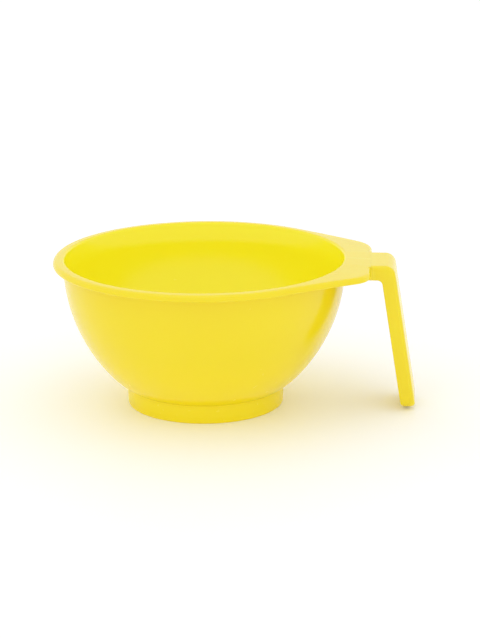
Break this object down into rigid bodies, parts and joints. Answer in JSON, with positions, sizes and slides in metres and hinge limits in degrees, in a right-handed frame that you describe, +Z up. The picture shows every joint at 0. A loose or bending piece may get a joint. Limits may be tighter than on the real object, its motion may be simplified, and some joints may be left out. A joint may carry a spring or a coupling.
{
  "type": "hair color bowl",
  "caption": "Round plastic bowl for mixing hair colour, with a sloping rim, a lug, a downward strap handle and a foot ring.",
  "frame": {"origin": "on the table, under the middle of the whole object's box; the bowl's own axis is 14.2 mm towards -X", "axes": "+Z up out of the bowl's mouth, +X from the bowl towards its handle, Y across the handle"},
  "size_m": [0.1684, 0.14, 0.07],
  "materials": {
    "bowl_plastic": "glossy yellow polypropylene",
    "handle_plastic": "glossy yellow polypropylene",
    "foot_plastic": "glossy yellow polypropylene"
  },
  "bodies": {
    "root": {"bowl_body": "bowl_plastic", "handle": "handle_plastic", "foot_ring": "foot_plastic"}
  },
  "joints": []
}
